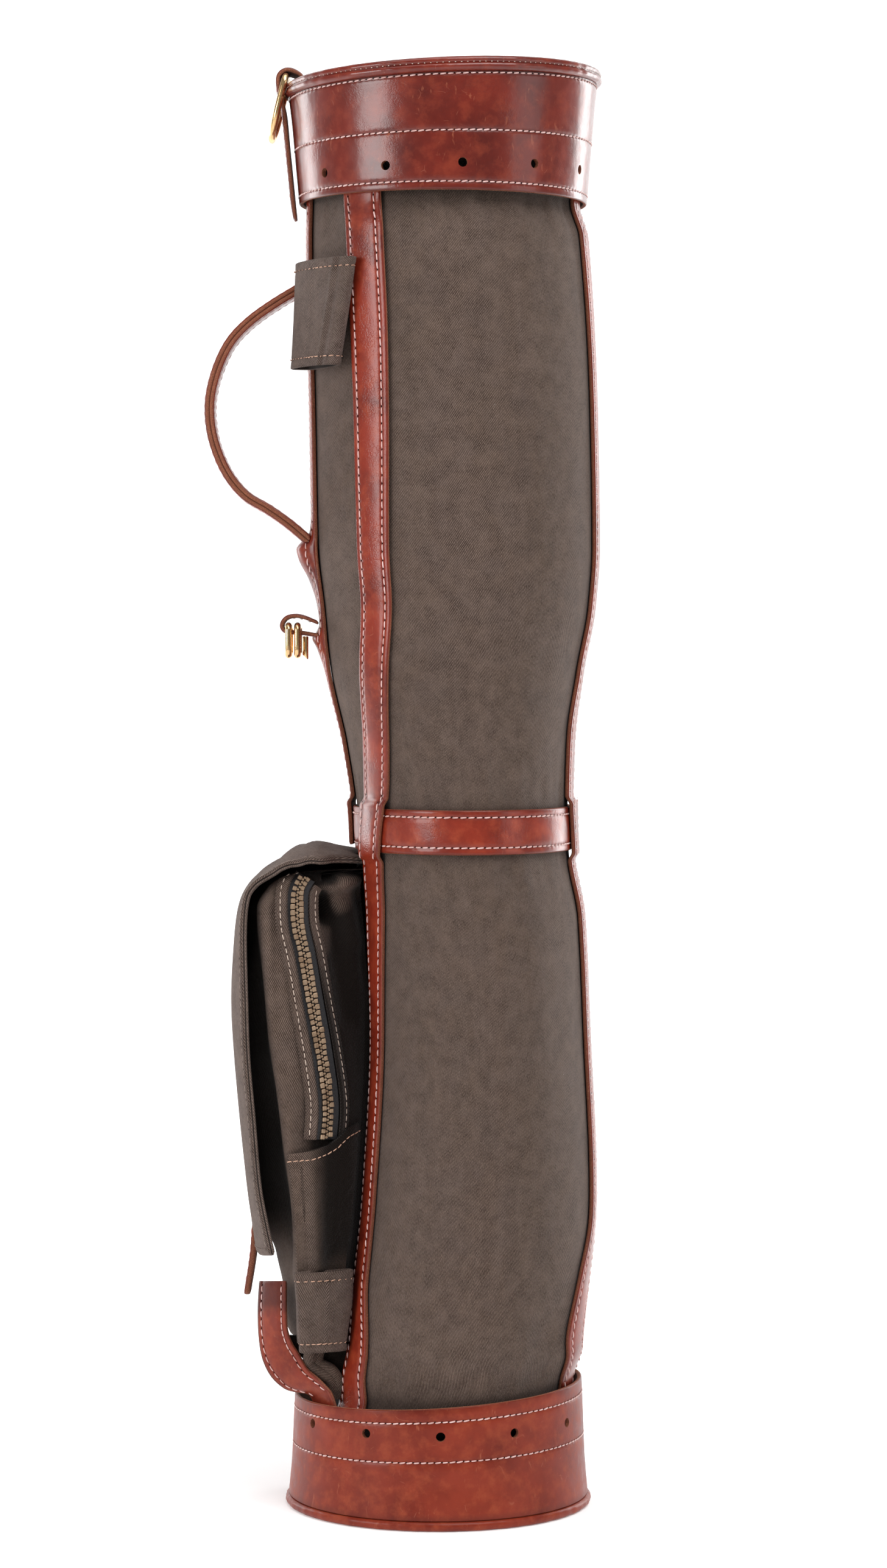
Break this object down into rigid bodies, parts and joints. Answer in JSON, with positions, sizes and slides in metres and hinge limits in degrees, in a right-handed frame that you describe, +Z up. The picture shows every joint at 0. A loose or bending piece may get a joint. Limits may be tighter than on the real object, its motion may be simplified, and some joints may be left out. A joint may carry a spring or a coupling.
{
  "type": "golf bag",
  "caption": "Slim canvas carry golf bag with a flared leather cuff, leather straps and cup foot, a bowed handle, umbrella sleeves, a flapped side pocket with a zip and brass rings.",
  "frame": {"origin": "on the floor, at the middle of the flat foot", "axes": "+Z up the bag towards its mouth; the handle and the pocket are on -X; the zip faces -Y"},
  "size_m": [0.2394, 0.1913, 0.8698],
  "materials": {
    "canvas": "waxed twill",
    "canvas_flap": "waxed twill, doubled",
    "leather_dark": "glossy, creased",
    "leather": "glossy, creased",
    "leather_light": "satin, scuffed",
    "board": "matt stiffened base",
    "brass": "polished",
    "zip_metal": "aged",
    "zip_tape": "woven"
  },
  "bodies": {
    "bag": {"base_disc": "board", "base_piping": "leather_light", "body_tube": "canvas", "bottom_cup": "leather_light", "clip_loop": "leather", "clip_tongue": "brass", "closing_strap": "leather_light", "flap_billet": "leather", "handle": "leather", "patch_pocket": "canvas", "pocket_body": "canvas", "pocket_flap": "canvas_flap", "pocket_tail": "canvas", "rim_bead": "leather_dark", "ring_tab": "leather_dark", "strap_front_left": "leather", "strap_handle": "leather", "strap_rear_left": "leather", "strap_right": "leather", "top_cuff": "leather_dark", "umbrella_sleeve_lower": "canvas", "umbrella_sleeve_upper": "canvas", "waist_band": "leather", "zip_tape": "zip_tape", "zip_teeth": "zip_metal"},
    "d_ring": {"d_ring": "brass"},
    "clip_ring_outer": {"clip_ring_outer": "brass"},
    "clip_ring_inner": {"clip_ring_inner": "brass"}
  },
  "joints": [
    {"name": "d_ring_swing", "type": "hinge", "parent": "bag", "child": "d_ring", "pos_m": [-0.0925, 0, 0.8642], "axis": [0, 1, 0], "range_deg": [0, 150]},
    {"name": "clip_ring_outer_swing", "type": "hinge", "parent": "bag", "child": "clip_ring_outer", "pos_m": [-0.0913, -0.005, 0.5338], "axis": [0, 1, 0], "range_deg": [0, 30]},
    {"name": "clip_ring_inner_swing", "type": "hinge", "parent": "bag", "child": "clip_ring_inner", "pos_m": [-0.0859, -0.005, 0.5338], "axis": [0, 1, 0], "range_deg": [0, 30]}
  ],
  "couplings": [
    {"joint": "clip_ring_inner_swing", "follows": "clip_ring_outer_swing", "ratio": 1}
  ]
}
